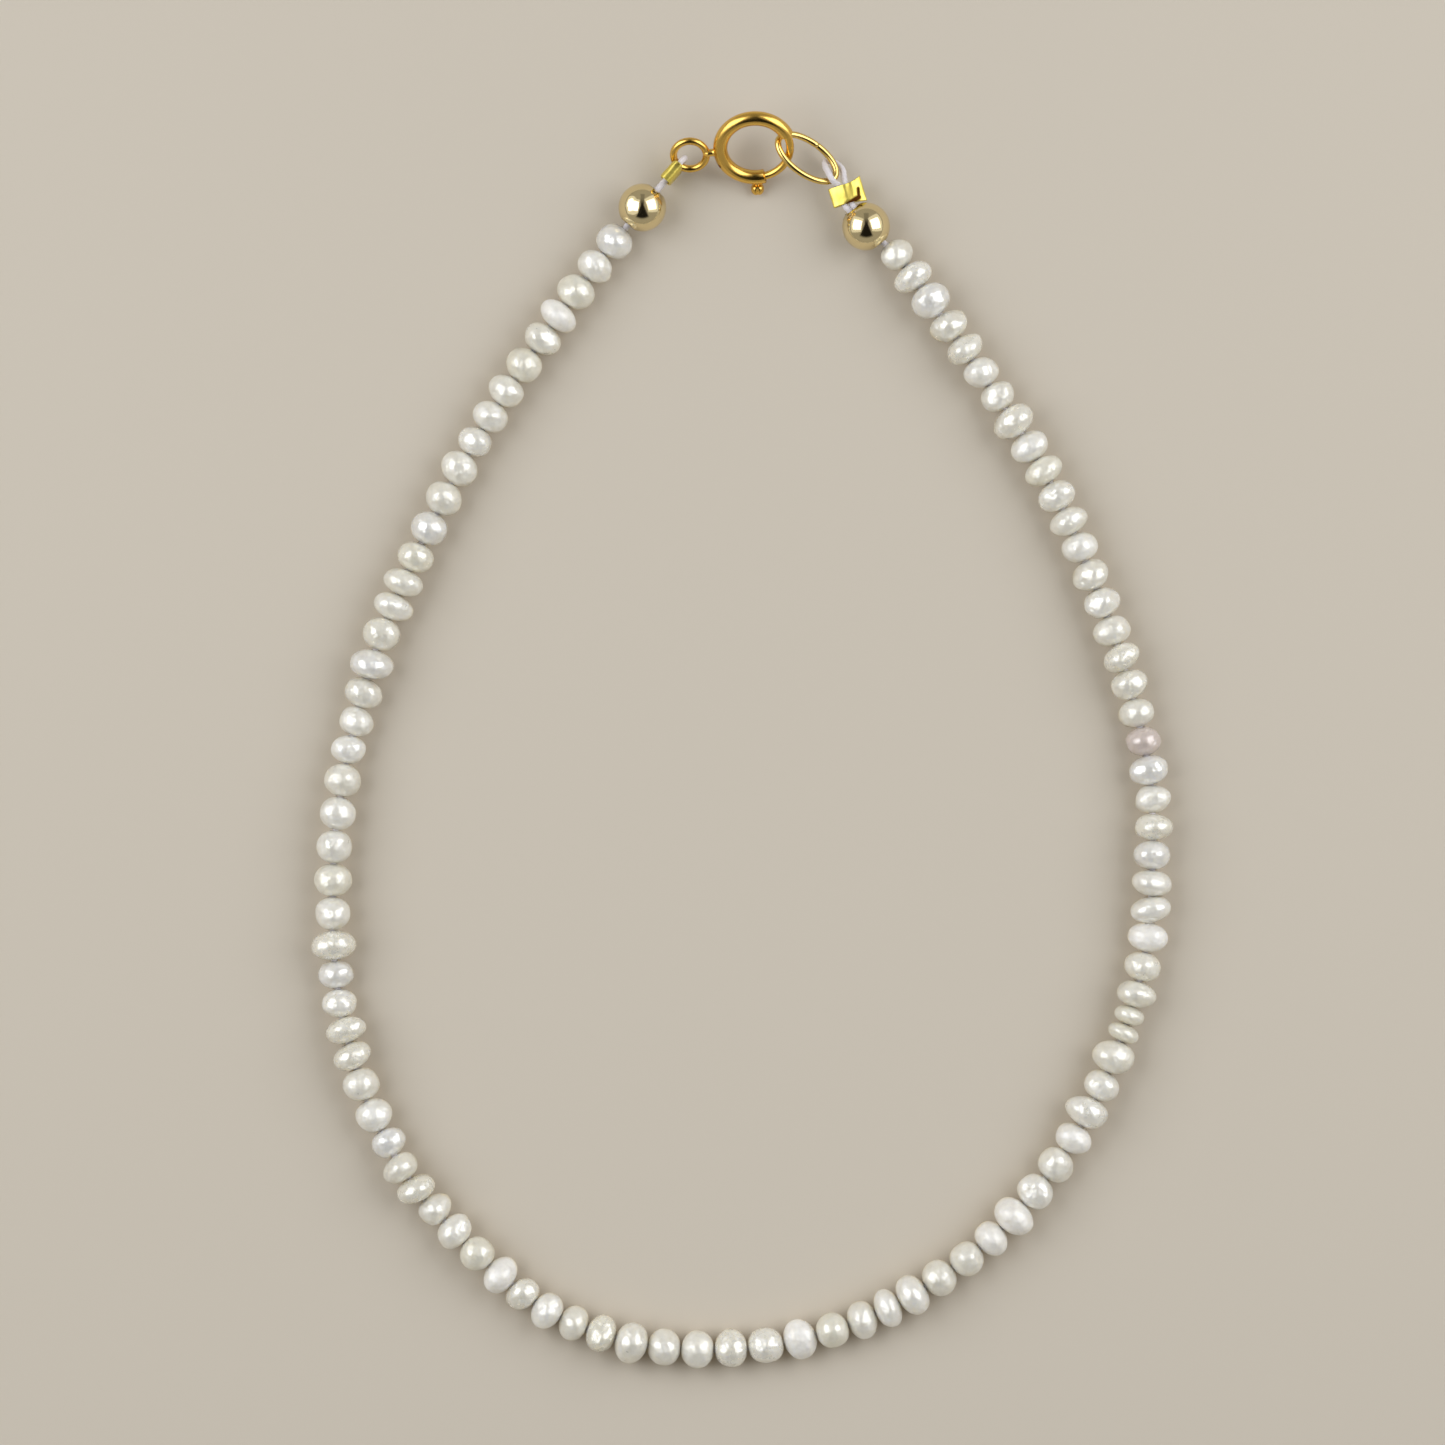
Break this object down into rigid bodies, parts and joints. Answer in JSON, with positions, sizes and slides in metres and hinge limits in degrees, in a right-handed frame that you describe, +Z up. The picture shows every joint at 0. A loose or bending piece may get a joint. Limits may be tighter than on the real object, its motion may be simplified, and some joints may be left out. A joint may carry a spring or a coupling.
{
  "type": "beaded anklet",
  "caption": "Closed pearl anklet lying flat: off-round white pearls on thread, gold ball beads and crimps, and a spring ring clasp hooked into a jump ring.",
  "frame": {"origin": "on the surface that the anklet lies on, under the middle of its outline", "axes": "+Z up, +Y towards the clasp, +X towards the jump ring's side"},
  "size_m": [0.0718, 0.1044, 0.0056],
  "materials": {
    "pearl": "glossy nacre",
    "ball_gold": "polished champagne gold plate",
    "crimp_gold": "polished lemon gold plate",
    "clasp_gold": "polished warm gold plate",
    "thread": "matt white"
  },
  "bodies": {
    "anklet": {"pearl_string": "pearl", "ball_bead_left": "ball_gold", "ball_bead_right": "ball_gold", "crimp_left": "crimp_gold", "crimp_right": "crimp_gold", "thread_left": "thread", "thread_right": "thread", "jump_ring": "clasp_gold", "clasp_ring": "clasp_gold"},
    "trigger": {"clasp_trigger": "clasp_gold"}
  },
  "joints": [
    {"name": "clasp_trigger_hinge", "type": "hinge", "parent": "anklet", "child": "trigger", "pos_m": [0.00088, 0.04925, 0.00314], "axis": [0, -0.6361, 0.7716], "range_deg": [-50, 0], "stiffness_Nm_per_rad": 0.002}
  ]
}
